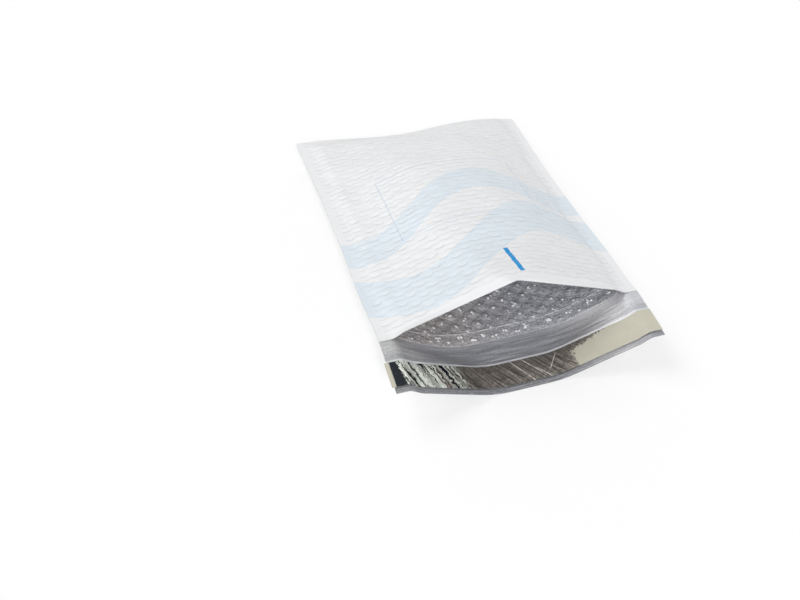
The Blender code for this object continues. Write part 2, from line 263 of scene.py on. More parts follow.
def seam_plane(u, v):
    """Height of the middle of the bag's edge, carried across from seam to seam.

    Towards the closed end it dips over the left part of the width and swells over the rest.
    """
    back = np.clip(v / BODY, 0.0, 1.0) ** SEAM_FALL
    out = np.clip(-v / FLAP, 0.0, 1.0)
    sides = []
    for side in (0, 1):
        height = blend(SEAM_HEIGHT_MOUTH[side], SEAM_HEIGHT_END[side], back)
        sides.append(blend(height, SEAM_HEIGHT_FLAP[side], out))
    across = np.clip(0.5 + u / WIDTH, 0.0, 1.0)
    dip = np.sin(math.pi * np.minimum(across / DIP_SHARE, 1.0) ** DIP_SKEW)
    swell = np.sin(math.pi * np.clip((across - DIP_SHARE) / (1.0 - DIP_SHARE), 0.0, 1.0))
    near_end = smooth((v / BODY - WAVE_FROM) / (1.0 - WAVE_FROM))
    return blend(sides[0], sides[1], across) + (END_SWELL * swell - END_DIP * dip) * near_end


def pack_half(u, v):
    """Half thickness of the bag pressed flat: thin at its seams, lining and film inside them."""
    side = smooth((QUILT_HALF - np.abs(u)) / EDGE_EASE)
    end = smooth((BODY - FOLD_WALL - v) / EDGE_EASE)
    edge = blend(SEAM_THICKNESS / 2, FOLD_THICKNESS / 2, side)
    return blend(edge, PACK, side * end)


def arch(u, v, flat, rounding, ease, height):
    """Section across the bag: share of its full height and the place across, both for flat places u."""
    s = np.linspace(0.0, HALF, SLICES)[None, :]
    slope = smooth((s - flat) / rounding[:, None]) * smooth((QUILT_HALF - s) / ease[:, None])
    step = HALF / (SLICES - 1)
    fall = np.cumsum((slope[:, 1:] + slope[:, :-1]) * step / 2, axis=1)
    fall = np.hstack([np.zeros((len(v), 1)), fall])
    total = fall[:, -1:]
    tilt = np.clip(height[:, None] * slope / total, 0.0, 0.95)
    level = np.sqrt(1.0 - tilt * tilt)
    run = np.cumsum((level[:, 1:] + level[:, :-1]) * step / 2, axis=1)
    run = np.hstack([np.zeros((len(v), 1)), run])
    place = np.minimum(np.abs(u), HALF) / step
    low = np.minimum(place.astype(int), SLICES - 2)
    part = place - low
    rows = np.arange(len(v))
    share = 1.0 - blend(fall[rows, low], fall[rows, low + 1], part) / total[:, 0]
    across = blend(run[rows, low], run[rows, low + 1], part)
    return share, across, run[:, -1]


def upper_arch(u, v):
    """Rise of the upper panel over the seams, the place across and the reach of its half width."""
    back = np.clip(v / BODY, 0.0, 1.0)
    height = blend(RIDGE_MOUTH, RIDGE_BODY, smooth(v / RIDGE_DROP_RUN)) * (1.0 - back ** RIDGE_FULLNESS)
    soft = np.sqrt(np.clip(v / RIDGE_ROUND_RUN, 0.0, 1.0))
    rounding = blend(RIDGE_ROUND_MOUTH, by_side(u, RIDGE_ROUND_BACK), soft)
    ease = blend(FLANK_EASE_MOUTH, by_side(u, FLANK_EASE_BACK), soft)
    share, across, reach = arch(u, v, 0.0, rounding, ease, height)
    return height * share, across, reach


def lay(u, v, upper, lift):
    """Places flat points on the upper or lower panel, lift outwards from the film's bare outer face."""
    u = np.asarray(u, float)
    v = np.broadcast_to(np.asarray(v, float), u.shape)
    rise, across, reach = upper_arch(u, v)
    beyond = np.maximum(np.abs(u) - HALF, 0.0)
    middle = seam_plane(u, v)
    half = pack_half(u, v)
    if upper:
        z = middle + half + rise + lift
    else:
        out = smooth(-v / GREY_BAND)
        rounding = blend(BOWL_ROUND_BODY, BOWL_ROUND_FLAP, out)
        depth = np.maximum(middle - half, 0.0)
        share, across, own_reach = arch(u, v, BOWL_FLAT, rounding, np.full(len(u), BOWL_EASE), depth)
        across = across * reach / own_reach
        share = share * (1.0 - smooth((v / BODY - FLOOR_RUN) / (1.0 - FLOOR_RUN)))
        floor = FLOOR_LIFT * smooth(v / BARE_MOUTH)
        z = floor + (middle - half - floor) * (1.0 - share) - lift
    return np.stack([np.sign(u) * (across + beyond), v + MOUTH_Y, z], axis=1)


def even(start, end, count):
    """The ends of count equal steps from start to end."""
    return [blend(start, end, i / count) for i in range(count + 1)]


def chance(a, b, salt):
    """A repeatable number from 0 to 1 for each pair of whole numbers."""
    mixed = np.sin(a * 127.1 + b * 311.7 + salt * 74.7) * 43758.5453
    return mixed - np.floor(mixed)


def ripples(u, v, length, salt, count=7, stretch=1.0):
    """Soft uneven waves from -1 to 1, about length long, drawn out along u by stretch."""
    total = np.zeros(np.shape(u))
    for i in range(count):
        angle = math.pi * float(chance(i, salt, 1))
        scale = 2 * math.pi / (length * (0.6 + 0.9 * float(chance(i, salt, 2))))
        phase = 2 * math.pi * float(chance(i, salt, 3))
        total = total + np.sin(scale * (math.cos(angle) * u / stretch + math.sin(angle) * v) + phase)
    return total / math.sqrt(count) / 1.4


def nearest_cell(u, v, start):
    """The bubble that a flat place belongs to: its column and row, and the place from its centre.

    The last value is how far out the place is, from 0 in the middle to 1 on the hexagon's edge.
    """
    best = None
    middle = np.round(u / COLUMN)
    for side in (-1, 0, 1):
        column = middle + side
        first = start + PITCH / 2 + np.where(np.mod(column, 2) == 1, PITCH / 2, 0.0)
        row = np.round((v - first) / PITCH)
        du = u - column * COLUMN
        dv = v - first - row * PITCH
        across = np.abs(dv) / (PITCH / 2)
        slanted = np.abs(du) / (COLUMN * 2 / 3) + np.abs(dv) / PITCH
        out = np.maximum(across, slanted)
        found = [column, row, du, dv, out]
        if best is None:
            best = found
        else:
            closer = out < best[4]
            best = [np.where(closer, new, old) for new, old in zip(found, best)]
    return best


def pillows(u, v):
    """Quilting of the outer film, from 0 in the valleys to about 1 on top of each bubble."""
    column, row, du, dv, out = nearest_cell(u, v, BARE_MOUTH)
    to_end = np.clip(2 * np.abs(dv) / PITCH, 0.0, 1.0)
    full = 1.0 - 0.30 * np.clip(out, 0.0, 1.0) ** 3 - 0.70 * to_end ** 5
    bowed = dv - CREASE_BOW * (2 * du / COLUMN) ** 2
    full = full - 0.36 * chance(column, row, 21) * np.exp(-(bowed / CREASE_WIDTH) ** 2)
    size = 0.72 + 0.38 * chance(column, row, 4)
    lean = 1.0 + (chance(column, row, 5) - 0.5) * 0.5 * dv / PITCH
    lean = lean + (chance(column, row, 6) - 0.5) * 0.5 * du / COLUMN
    border = smooth((v - BARE_MOUTH * 0.45) / 0.005) * smooth((WELD_LINE - np.abs(u)) / 0.002)
    border = border * smooth((BODY - FOLD_WALL - v) / BORDER)
    return full * size * lean * border


def long_creases(u, v, salt):
    """Creases pressed across the film, from 0 to -1 at their deepest."""
    total = np.zeros(np.shape(u))
    for i in range(CREASES):
        centre_u = (chance(i, salt, 7) - 0.5) * 2 * QUILT_HALF
        centre_v = 0.015 + chance(i, salt, 8) * (BODY - 0.025)
        angle = math.radians(-10 + 20 * chance(i, salt, 9)) + (0.10 if centre_u > 0 else -0.06)
        reach = 0.012 + 0.040 * chance(i, salt, 10)
        deep = 0.35 + 0.65 * chance(i, salt, 11)
        wide = 0.0010 + 0.0010 * chance(i, salt, 12)
        du, dv = u - centre_u, v - centre_v
        run = du * math.cos(angle) + dv * math.sin(angle)
        off = dv * math.cos(angle) - du * math.sin(angle) + 0.0012 * np.sin(run / 0.0045 + i)
        fade = smooth((reach - np.abs(run)) / (reach * 0.6))
        total = np.minimum(total, -deep * np.exp(-(off / wide) ** 2) * fade)
    return total


def well_inside(u, v):
    """0 along the edges of a panel, rising to 1 a little inside them."""
    across = smooth((QUILT_HALF - np.abs(u)) / BORDER)
    return smooth(v / (2 * BORDER)) * across * smooth((BODY - v) / (2 * BORDER))


def film_relief(u, v, upper, settings):
    """Distance of the outer face from the plain shape: pillows, creases and soft dents."""
    inside = well_inside(u, v)
    relief = settings.pillow * pillows(u, v)
    relief = relief + settings.crease * long_creases(u, v, 1 if upper else 2) * inside
    return relief + soft_dents(u, v, upper) * inside


def soft_dents(u, v, upper):
    """Broad shallow hollows and swells of the upper panel."""
    return (DENT if upper else 0.0) * ripples(u, v, DENT_LENGTH, 3)


def flap_pucker(u, v, settings):
    """Fine wrinkles along the bare grey band of the flap, and the lip of film above the liner."""
    window = smooth((-v - 0.0005) / 0.004) * smooth((GREY_BAND - 0.001 + v) / 0.004)
    folds = 0.5 + 0.5 * ripples(u, v, 0.005, 5, 9, 7.0)
    lip = LIP_RISE * np.exp(-((v + GREY_BAND - LIP_FROM_LINER) / 0.0009) ** 2)
    lip = lip * smooth((HALF - 0.004 - np.abs(u)) / 0.01)
    return settings.pucker * np.clip(folds, 0.0, 1.2) * window + lip


def film_rows():
    """Rows of the film's web from the upper mouth edge round the closed end to the flap's edge.

    Each row is (upper, v, turn, web), where turn is the angle round the closed fold, or None off it.
    """
    rows = [(True, v, None, v) for v in even(0.0, BODY, UPPER_ROWS)]
    rows += [(False, BODY, math.pi * i / (FOLD_ROWS + 1), BODY) for i in range(1, FOLD_ROWS + 1)]
    rows += [(False, v, None, 2 * BODY - v) for v in even(BODY, 0.0, LOWER_ROWS)]
    return rows + [(False, v, None, 2 * BODY - v) for v in even(0.0, -FLAP, FLAP_ROWS)[1:]]


def fold_row(us, turn, depth):
    """One row round the closed end, depth inside its outer face."""
    top = lay(us, BODY, True, -depth)
    bottom = lay(us, BODY, False, -depth)
    middle, half = (top + bottom) / 2, (top - bottom) / 2
    row = middle + half * math.cos(turn)
    row[:, 1] += np.abs(half[:, 2]) * math.sin(turn)
    return row


def film_outer_row(us, row, settings):
    """Points of the film's outer face along one row, with its relief."""
    upper, v, turn, _ = row
    if turn is not None:
        return fold_row(us, turn, 0.0)
    vs = np.full(len(us), v)
    if v < 0.0:
        return lay(us, v, False, -flap_pucker(us, vs, settings))
    return lay(us, v, upper, film_relief(us, vs, upper, settings))


def film_inner_row(us, row, settings):
    """Points of the film's inner face along one row, clear below the creases of the outer face."""
    upper, v, turn, _ = row
    if turn is not None:
        return fold_row(us, turn, FILM)
    vs = np.full(len(us), v)
    if v < 0.0:
        return lay(us, v, False, -FILM - flap_pucker(us, vs, settings))
    return lay(us, v, upper, -FILM + (soft_dents(us, vs, upper) - settings.crease) * well_inside(us, v))


def thick_web(name, face, back, rows, cols, face_flat, materials, smooth_angle, glint=None):
    """A closed sheet: a fine face of points in a grid, and a coarser back on the grid lines rows and cols.

    The second of two materials goes on the back and the rim. Glint, where given, is kept as a value for
    each point, for the material to read.
    """
    high, wide = face.shape[:2]
    back_high, back_wide = len(rows), len(cols)
    points = np.vstack([face.reshape(-1, 3), back.reshape(-1, 3)])
    flat = np.vstack([face_flat.reshape(-1, 2), face_flat[np.ix_(rows, cols)].reshape(-1, 2)])
    front = np.arange(high * wide).reshape(high, wide)
    rear = np.arange(back_high * back_wide).reshape(back_high, back_wide) + high * wide
    faces, kinds = [], []
    a, b, c, d = front[:-1, :-1], front[:-1, 1:], front[1:, 1:], front[1:, :-1]
    faces += np.stack([a, b, c, d], axis=-1).reshape(-1, 4).tolist()
    kinds += [0] * ((high - 1) * (wide - 1))
    a, b, c, d = rear[:-1, :-1], rear[:-1, 1:], rear[1:, 1:], rear[1:, :-1]
    faces += np.stack([a, d, c, b], axis=-1).reshape(-1, 4).tolist()
    kinds += [1] * ((back_high - 1) * (back_wide - 1))
    edges = [(front[0], rear[0], cols, 1), (front[-1], rear[-1], cols, -1),
             (front[:, 0], rear[:, 0], rows, -1), (front[:, -1], rear[:, -1], rows, 1)]
    for fine, coarse, stops, turn in edges:
        for i in range(len(stops) - 1):
            ring = [coarse[i], coarse[i + 1]] + [fine[k] for k in range(stops[i + 1], stops[i] - 1, -1)]
            faces.append([int(k) for k in (ring if turn > 0 else ring[::-1])])
            kinds.append(1)
    mesh = bpy.data.meshes.new(name)
    mesh.from_pydata(points.tolist(), [], faces)
    mesh.polygons.foreach_set("material_index", [kind if len(materials) > 1 else 0 for kind in kinds])
    layer = mesh.uv_layers.new(name="flat")
    corners = np.empty(len(mesh.loops), dtype=np.int32)
    mesh.loops.foreach_get("vertex_index", corners)
    layer.data.foreach_set("uv", flat[corners].astype(np.float32).ravel())
    if glint is not None:
        values = np.concatenate([glint.ravel(), glint[np.ix_(rows, cols)].ravel()]).astype(np.float32)
        mesh.attributes.new("glint", "FLOAT", "POINT").data.foreach_set("value", values)
    for material in materials:
        mesh.materials.append(material)
    obj = bpy.data.objects.new(name, mesh)
    bpy.context.scene.collection.objects.link(obj)
    turn_outwards(mesh)
    mesh.shade_smooth()
    mesh.set_sharp_from_angle(angle=math.radians(smooth_angle))
    return obj


def turn_outwards(mesh):
    """Turns a closed mesh whose faces point inwards."""
    bm = bmesh.new()
    bm.from_mesh(mesh)
    if bm.calc_volume(signed=True) < 0.0:
        bmesh.ops.reverse_faces(bm, faces=bm.faces)
    bm.to_mesh(mesh)
    bm.free()


def bubbles(u, v, settings):
    """Air bubbles of the lining, from 0 on the plain sheet between them to 1 on top."""
    column, row, du, dv, _ = nearest_cell(u, v, LINING_LIP + BARE_LIP)
    lean = 0.0005 * (chance(column, row, 13) - 0.5)
    far = np.sqrt((du - lean) ** 2 + (dv + lean) ** 2) / (settings.bubble_width / 2)
    dome = np.clip(1.0 - np.clip(far, 0.0, 1.0) ** 2.4, 0.0, 1.0) ** 0.8
    slack = 0.25 + 0.70 * chance(column, row, 14)
    dimple = 1.0 - 0.65 * chance(column, row, 15) * np.exp(-(far / 0.5) ** 2)
    edge = smooth((LINING_HALF - 0.004 - np.abs(u)) / BORDER) * smooth((LINING_END - 0.004 - v) / BORDER)
    flattened = 0.45 + 0.55 * smooth((v - WELD_CREASE) / BORDER)
    return dome * slack * dimple * edge * flattened * smooth((v - LINING_LIP) / 0.003)


def glints(u, v, upper):
    """Small highlights on the slack film of each bubble, more of them bright in the first row."""
    column, row, du, dv, _ = nearest_cell(u, v, LINING_LIP + BARE_LIP)
    column = column + (0 if upper else 60)
    front = v < WELD_CREASE - 0.001
    total = np.zeros(np.shape(u))
    for i in range(GLINTS):
        reach = np.where(front, 0.0056, 0.0014 + 0.0016 * i)
        off_u = du - (chance(column, row, 20 + i) - 0.5) * reach
        off_v = dv - (chance(column, row, 30 + i) - 0.5) * reach
        bright = chance(column, row, 40 + i) ** np.where(front, 0.5, 0.6 + 0.9 * i)
        wide = 0.0005 + 0.0006 * chance(column, row, 50 + i)
        total = np.maximum(total, bright * np.exp(-(off_u ** 2 + off_v ** 2) / wide ** 2))
    return total * smooth((v - LINING_LIP - 0.001) / 0.002) * smooth((LINING_END - BORDER - v) / BORDER)


def lining_row(us, upper, v, inner, settings):
    """Points of the lining along one row: its bubbled face in the pocket, or its plain face on the film."""
    vs = np.full(len(us), v)
    if not inner:
        return lay(us, v, upper, -LINING_SKIN)
    crumple = 0.00016 * ripples(us, vs, 0.0045, 6) + 0.00020 * (chance(us * 1e4, vs * 1e4, 16) - 0.5)
    from_weld = v - WELD_CREASE - 0.0005 * ripples(us, np.zeros(len(us)), 0.03, 9)
    weld = WELD_RISE * np.exp(-(from_weld / WELD_WIDTH) ** 2)
    weld = weld * smooth((LINING_HALF - 0.003 - np.abs(us)) / 0.01)
    rise = settings.bubble_rise * bubbles(us, vs, settings)
    depth = LINING_SHEET - 0.0002 + crumple + np.maximum(weld, rise)
    return lay(us, v, upper, -LINING_SKIN - np.maximum(depth, THINNEST_LINING))


def strip_grid(us, vs, height, raise_by):
    """Points of a strip on the flap's inner face, height above it, with its own unevenness added."""
    rows = []
    for v in vs:
        row = lay(us, v, False, -FILM - height)
        row[:, 2] += raise_by(us, np.full(len(us), v))
        rows.append(row)
    return np.array(rows)


class Value:
    """A socket of a shader node that takes part in Python expressions, which add Math nodes."""

    def __init__(self, tree, socket):
        self.tree = tree
        self.socket = socket

    def maths(self, operation, *others, swap=False):
        node = self.tree.nodes.new("ShaderNodeMath")
        node.operation = operation
        terms = [self, *others]
        if swap:
            terms.reverse()
        for place, term in enumerate(terms):
            if isinstance(term, Value):
                self.tree.links.new(term.socket, node.inputs[place])
            else:
                node.inputs[place].default_value = term
        return Value(self.tree, node.outputs[0])

    def __add__(self, other):
        return self.maths("ADD", other)

    __radd__ = __add__

    def __sub__(self, other):
        return self.maths("SUBTRACT", other)

    def __rsub__(self, other):
        return self.maths("SUBTRACT", other, swap=True)

    def __mul__(self, other):
        return self.maths("MULTIPLY", other)

    __rmul__ = __mul__

    def __truediv__(self, other):
        return self.maths("DIVIDE", other)

    def __pow__(self, other):
        return self.maths("POWER", other)

    def size(self):
        return self.maths("ABSOLUTE")

    def sine(self):
        return self.maths("SINE")

    def least(self, other):
        return self.maths("MINIMUM", other)

    def most(self, other):
        return self.maths("MAXIMUM", other)

    def step(self, start, end):
        """Eased step from 0 at start to 1 at end."""
        node = self.tree.nodes.new("ShaderNodeMapRange")
        node.interpolation_type = "SMOOTHSTEP"
        self.tree.links.new(self.socket, node.inputs["Value"])
        if start < end:
            limits = (start, end, 0.0, 1.0)
        else:
            limits = (end, start, 1.0, 0.0)
        for place, limit in zip(("From Min", "From Max", "To Min", "To Max"), limits):
            node.inputs[place].default_value = limit
        return Value(self.tree, node.outputs["Result"])


class Finish:
    """A material and the few ways its nodes are added."""

    def __init__(self, name):
        self.material = bpy.data.materials.new(name)
        self.material.use_nodes = True
        self.tree = self.material.node_tree
        self.shader = self.tree.nodes["Principled BSDF"]

    def add(self, kind, settings=None, **sockets):
        """Any node: its type, its settings, then the values or links of its sockets by name or place."""
        node = self.tree.nodes.new(kind)
        for key, value in (settings or {}).items():
            if key == "stops":
                self.set_stops(node, value)
            else:
                setattr(node, key, value)
        for key, value in sockets.items():
            name = key.replace("_", " ")
            socket = node.inputs[int(key[1:])] if key[1:].isdigit() else node.inputs[name]
            self.feed(socket, value)
        return node

    def set_stops(self, node, stops):
        ramp = node.color_ramp
        while len(ramp.elements) < len(stops):
            ramp.elements.new(0.5)
        for element, (place, colour) in zip(ramp.elements, stops):
            element.position = place
            element.color = (*colour, 1.0)

    def feed(self, socket, value):
        if isinstance(value, Value):
            self.tree.links.new(value.socket, socket)
        elif isinstance(value, bpy.types.NodeSocket):
            self.tree.links.new(value, socket)
        else:
            socket.default_value = value

    def out(self, node, name=0):
        return Value(self.tree, node.outputs[name])

    def flat_place(self):
        """Millimetres across from the centre line and along the web, from the piece's own flat map."""
        source = self.add("ShaderNodeUVMap", {"uv_map": "flat"})
        parts = self.add("ShaderNodeSeparateXYZ", Vector=source.outputs["UV"])
        return (self.out(parts, "X") - 0.5) * (MM * WIDTH), self.out(parts, "Y") * (MM * WEB)

    def point(self, x, y):
        return self.add("ShaderNodeCombineXYZ", X=x, Y=y).outputs["Vector"]

    def noise(self, place, scale, detail=3.0, rough=0.5):
        node = self.add("ShaderNodeTexNoise", {}, Vector=place, Scale=scale, Detail=detail, Roughness=rough)
        return self.out(node, "Fac")

    def mix(self, share, first, second):
        """One colour mixed with another."""
        node = self.add("ShaderNodeMix", {"data_type": "RGBA"}, i0=share)
        for place, colour in ((6, first), (7, second)):
            if hasattr(colour, "__len__"):
                colour = (*tuple(colour)[:3], 1.0)
            self.feed(node.inputs[place], colour)
        return node.outputs[2]

    def bump(self, height, distance, strength):
        """Relief of the material, distance metres high at a height of 1."""
        node = self.add("ShaderNodeBump", {}, Height=height, Distance=distance, Strength=strength)
        self.feed(self.shader.inputs["Normal"], node.outputs["Normal"])

    def set(self, **sockets):
        """Links or sets sockets of the surface shader by name."""
        for key, value in sockets.items():
            self.feed(self.shader.inputs[key.replace("_", " ")], value)


def tint(colour, by):
    """A colour made lighter or darker."""
    return tuple(min(1.0, part * by) for part in colour)


def wave(u, web, middle, swing, slope, shift):
    """Distance from the middle line of a printed wave."""
    return (web - middle - (u / WAVE_STRETCH + shift).sine() * swing - u * slope).size()


def white_film():
    """Satin white film with its pale blue print, pressed valleys with painted shade in their crease lines,
    and fine crinkle.
    """
    film, printed = bpy.context.scene.envelope_film, bpy.context.scene.envelope_print
    look = Finish("white_film")
    u, web = look.flat_place()
    place = look.point(u, web)
    cloud = look.noise(place, 0.02, 2.0)
    grain = look.noise(place, 0.9, 4.0, 0.6)
    creases = bubble_creases(look, u, web)
    white = look.mix(cloud, tint(film.white, 0.975), tint(film.white, 1.02))
    seam = (u.size() - MM * WELD_LINE).step(-0.5, 0.8)
    # Painted light: the smooth seam band is made lighter to offset the shade that its tilt gives it.
    white = look.mix(seam * 0.7, white, tint(film.white, 1.03))
    upper = web.step(MM * BODY, MM * BODY - 0.5)
    first = wave(u, web, middle=66.0, swing=22.0, slope=0.18, shift=0.0)
    second = wave(u, web, middle=138.0, swing=20.0, slope=0.12, shift=1.1)
    half = printed.wave_width / 2
    waves = first.step(half + 0.3, half - 0.3).most(second.step(half * 0.72 + 0.3, half * 0.72 - 0.3))
    ink = look.mix(cloud, tint(printed.wave_blue, 0.98), tint(printed.wave_blue, 1.02))
    colour = look.mix(waves * upper, white, ink)
    line = printed.line_width / 2
    across, along = (u - ADDRESS_PLACE[0]).size(), (web - ADDRESS_PLACE[1]).size()
    sides, ends = (across - ADDRESS_HALF[0]).size(), (along - ADDRESS_HALF[1]).size()
    inside = across.step(ADDRESS_HALF[0] + PRINT_SOFT + line, ADDRESS_HALF[0] + line)
    inside = inside * along.step(ADDRESS_HALF[1] + PRINT_SOFT + line, ADDRESS_HALF[1] + line)
    frame_line = sides.step(line + PRINT_SOFT, line).most(ends.step(line + PRINT_SOFT, line)) * inside
    colour = look.mix(frame_line * upper * 0.6, colour, printed.line_blue)
    bar = (u - BAR_PLACE[0]).size().step(BAR_HALF[0] + PRINT_SOFT, BAR_HALF[0] - PRINT_SOFT)
    bar = bar * (web - BAR_PLACE[1]).size().step(BAR_HALF[1] + PRINT_SOFT, BAR_HALF[1] - PRINT_SOFT)
    colour = look.mix(bar, colour, printed.bar_blue)
    # Painted shade: the crease lines are darkened in the colour as well as pressed into the bump.
    colour = look.mix(creases * 0.32, colour, (0.40, 0.41, 0.43))
    look.set(Base_Color=colour, Roughness=0.36 + grain * 0.16)
    look.shader.inputs["Specular IOR Level"].default_value = 0.32
    crinkle = look.noise(look.point(u * 0.5, web), 0.35, 5.0, 0.62)
    weave = (u * 4.2).sine() * (web * 4.2).sine() * seam
    look.bump(crinkle * 0.5 + grain * 0.15 + weave * 0.12 - creases * 0.7, 0.0006, 0.6)
    return look.material


def bubble_creases(look, u, web):
    """Creases across the film at both ends of each bubble and thinner ones over it, 1 at their deepest;
    they shape the bump and the painted shade of the crease lines.
    """
    warp = look.noise(look.point(u, web), 0.10, 2.0) - 0.5
    deep = web.least(2 * MM * BODY - web) + warp * 3.0
    column = (u / (MM * COLUMN)).maths("ROUND")
    odd = column.maths("MODULO", 2.0).size()
    bow = (u / (MM * COLUMN) - column) ** 2.0 * (4 * 1.2)
    along = ((deep - bow) / (MM * PITCH) - BARE_MOUTH / PITCH - odd * 0.5).maths("FRACT")
    near = (0.5 - (along - 0.5).size()) * (MM * PITCH)
    over = (along - 0.5).size() * (MM * PITCH)
    strength = look.noise(look.point(column * 3.1, deep * 0.12), 0.9, 2.0).step(0.30, 0.60)
    loose = look.noise(look.point(u * 0.25, deep * 0.4), 0.8, 2.0).step(0.36, 0.54)
    inside = deep.step(4.0, 8.0) * (u.size() - MM * WELD_LINE).step(0.5, -1.0)
    return (near.step(0.65, 0.05) * strength).most(over.step(0.60, 0.05) * loose * 0.8) * inside


def grey_film():
    """Silver grey inner side of the film, finely wrinkled along the flap, with painted sheen and shade:
    paler to the right and on the left, darker in a band before the lip.
    """
    film = bpy.context.scene.envelope_film
    look = Finish("grey_film")
    u, web = look.flat_place()
    out = web - 2 * MM * BODY
    streak = look.noise(look.point(u * 0.07, web), 0.75, 6.0, 0.6)
    cloud = look.noise(look.point(u * 0.5, web), 0.04, 3.0)
    fine = look.noise(look.point(u * 0.35, web), 1.1, 4.0, 0.65)
    # Painted light: paler on the left than in the middle, and a painted sheen to the right that fades again
    # near the right corner.
    base = look.mix(u.step(-105.0, -40.0), tint(film.grey, 1.65), tint(film.grey, 1.30))
    base = look.mix(u.step(25.0, 95.0), base, (0.95, 0.94, 0.95))
    base = look.mix(u.step(88.0, 112.0) * 0.75, base, tint(film.grey, 1.5))
    base = look.mix(u.step(-60.0, -118.0) * 0.5, base, (0.46, 0.45, 0.40))
    # Painted shade: a darker band across the grey flap just before the lip.
    painted_shade_band = out.step(11.0, 16.0) * out.step(19.8, 18.6)
    base = look.mix(painted_shade_band * 0.30, base, tint(film.grey, 0.45))
    base = look.mix((cloud - 0.5).size() * 0.9, base, tint(film.grey, 0.9))
    base = look.mix(out.step(44.3, 45.2) * 0.75, base, tint(film.grey, 0.55))
    # Lighter and darker flecks and lines that follow the bump: partly the film's own mottle, partly painted
    # sheen and shade on its fine wrinkles.
    base = look.mix(fine.step(0.52, 0.34) * 0.36, base, tint(film.grey, 0.6))
    base = look.mix(fine.step(0.52, 0.70) * 0.32, base, (0.80, 0.81, 0.84))
    colour = look.mix(streak.step(0.45, 0.70) * 0.30, base, (0.80, 0.81, 0.84))
    colour = look.mix(streak.step(0.44, 0.30) * 0.22, colour, tint(film.grey, 0.55))
    # Painted highlight: a light line along the lip of film above the liner.
    lip = (out - 20.3 + (cloud - 0.5) * 1.2).size().step(1.3, 0.4)
    colour = look.mix(lip * 0.42, colour, (0.86, 0.87, 0.89))
    look.set(Base_Color=colour, Roughness=0.34 + fine * 0.18)
    look.shader.inputs["Metallic"].default_value = 0.3
    look.bump(streak * 1.0 + fine * 0.35, 0.0007, 0.8)
    return look.material


def air_cushion_film():
    """Clear glossy air-cushion film over grey: mottled sheet, a pale weld crease and small glints."""
    lining = bpy.context.scene.envelope_lining
    look = Finish("air_cushion_film")
    u, web = look.flat_place()
    place = look.point(u, web)
    deep = MM * BODY - (web - MM * BODY).size()
    mottle = look.noise(place, 0.50, 5.0, 0.68)
    veins = (look.noise(place, 0.38, 3.0, 0.6) - 0.5).size()
    cloud = look.noise(place, 0.05, 3.0)
    warm = u.step(20.0, -60.0)
    red, green, blue = lining.tint
    middle = look.mix(warm, lining.tint, (red * 1.10, green, blue * 0.90))
    colour = look.mix(mottle.step(0.50, 0.36) * 0.72, middle, tint(lining.tint, 0.28))
    colour = look.mix(mottle.step(0.52, 0.66) * 0.60, colour, tint(lining.tint, 1.8))
    colour = look.mix(veins.step(0.035, 0.0) * 0.40, colour, (0.80, 0.80, 0.84))
    colour = look.mix((cloud - 0.4).most(0.0) * 1.4, colour, tint(lining.tint, 0.62))
    wander = (look.noise(look.point(u, 0.0), 0.05, 3.0) - 0.5) * 2.0
    lines = (deep - MM * WELD_CREASE - wander).size()
    dashes = look.noise(look.point(u, 0.0), 0.6, 3.0).step(0.30, 0.55)
    weld = lines.step(0.8, 0.3) * 0.9
    weld = weld.most((lines - 1.9).size().step(0.6, 0.1) * dashes * u.step(-20.0, 30.0) * 0.6)
    colour = look.mix(weld * 0.9, colour, (0.88, 0.89, 0.93))
    # Painted highlights: the glint spots are painted near white into the colour and given a faint glow
    # through the emission.
    spots = look.add("ShaderNodeAttribute", {"attribute_name": "glint"})
    spark = (look.out(spots, "Fac") * (0.4 + mottle * 1.2)).step(0.20, 0.46)
    colour = look.mix(spark, colour, (0.97, 0.97, 0.98))
    glow = look.mix(spark, (0.0, 0.0, 0.0), (0.30, 0.30, 0.32))
    look.set(Base_Color=colour, Roughness=0.14 + mottle * 0.2, Coat_Weight=1.0, Emission_Color=glow)
    look.shader.inputs["Emission Strength"].default_value = 1.0
    look.shader.inputs["Coat Roughness"].default_value = 0.08
    look.bump(mottle * 1.2 + veins * 1.5, 0.0012, 0.9)
    return look.material


